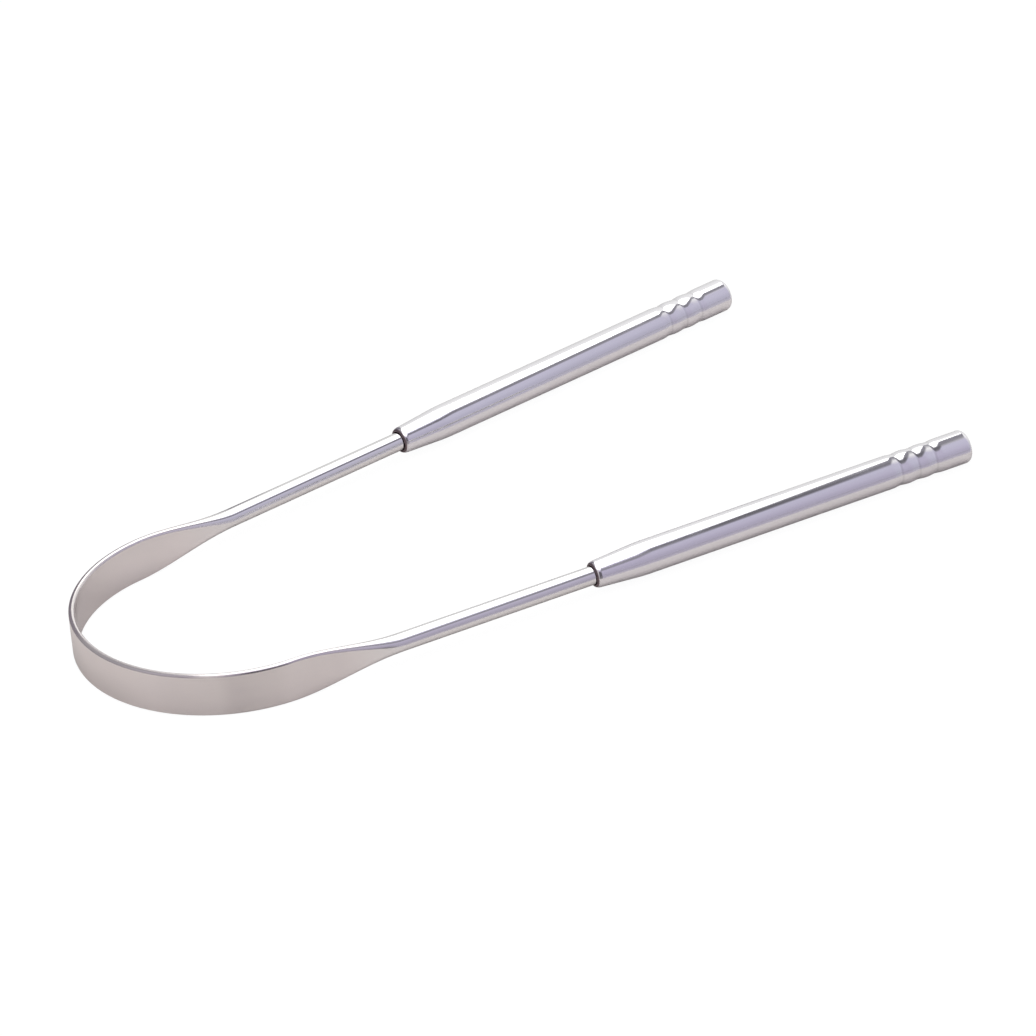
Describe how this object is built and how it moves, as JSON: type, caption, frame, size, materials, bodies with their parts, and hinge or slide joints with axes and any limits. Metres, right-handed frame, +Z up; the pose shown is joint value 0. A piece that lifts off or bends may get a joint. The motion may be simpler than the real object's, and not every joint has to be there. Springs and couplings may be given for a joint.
{
  "type": "tongue scraper",
  "caption": "Steel tongue scraper: a round wire rolled flat and bent into a bow, with a tubular handle, necked at its mouth and grooved near its closed end, on each leg.",
  "frame": {"origin": "under the middle of the whole length and width, on the plane of the blade's lower edge, which the scraper lies on", "axes": "+X from the bow towards the handle ends, +Y towards the right leg, +Z up, across the blade's width"},
  "size_m": [0.1562, 0.0802, 0.008],
  "materials": {
    "blade_steel": "satin",
    "handle_steel": "polished",
    "plug_steel": "satin",
    "sleeve_steel": "satin"
  },
  "bodies": {
    "root": {"scraper_bow": "blade_steel", "left_handle_tube": "handle_steel", "right_handle_tube": "handle_steel", "left_end_plug": "plug_steel", "right_end_plug": "plug_steel", "left_rod_sleeve": "sleeve_steel", "right_rod_sleeve": "sleeve_steel"}
  },
  "joints": []
}
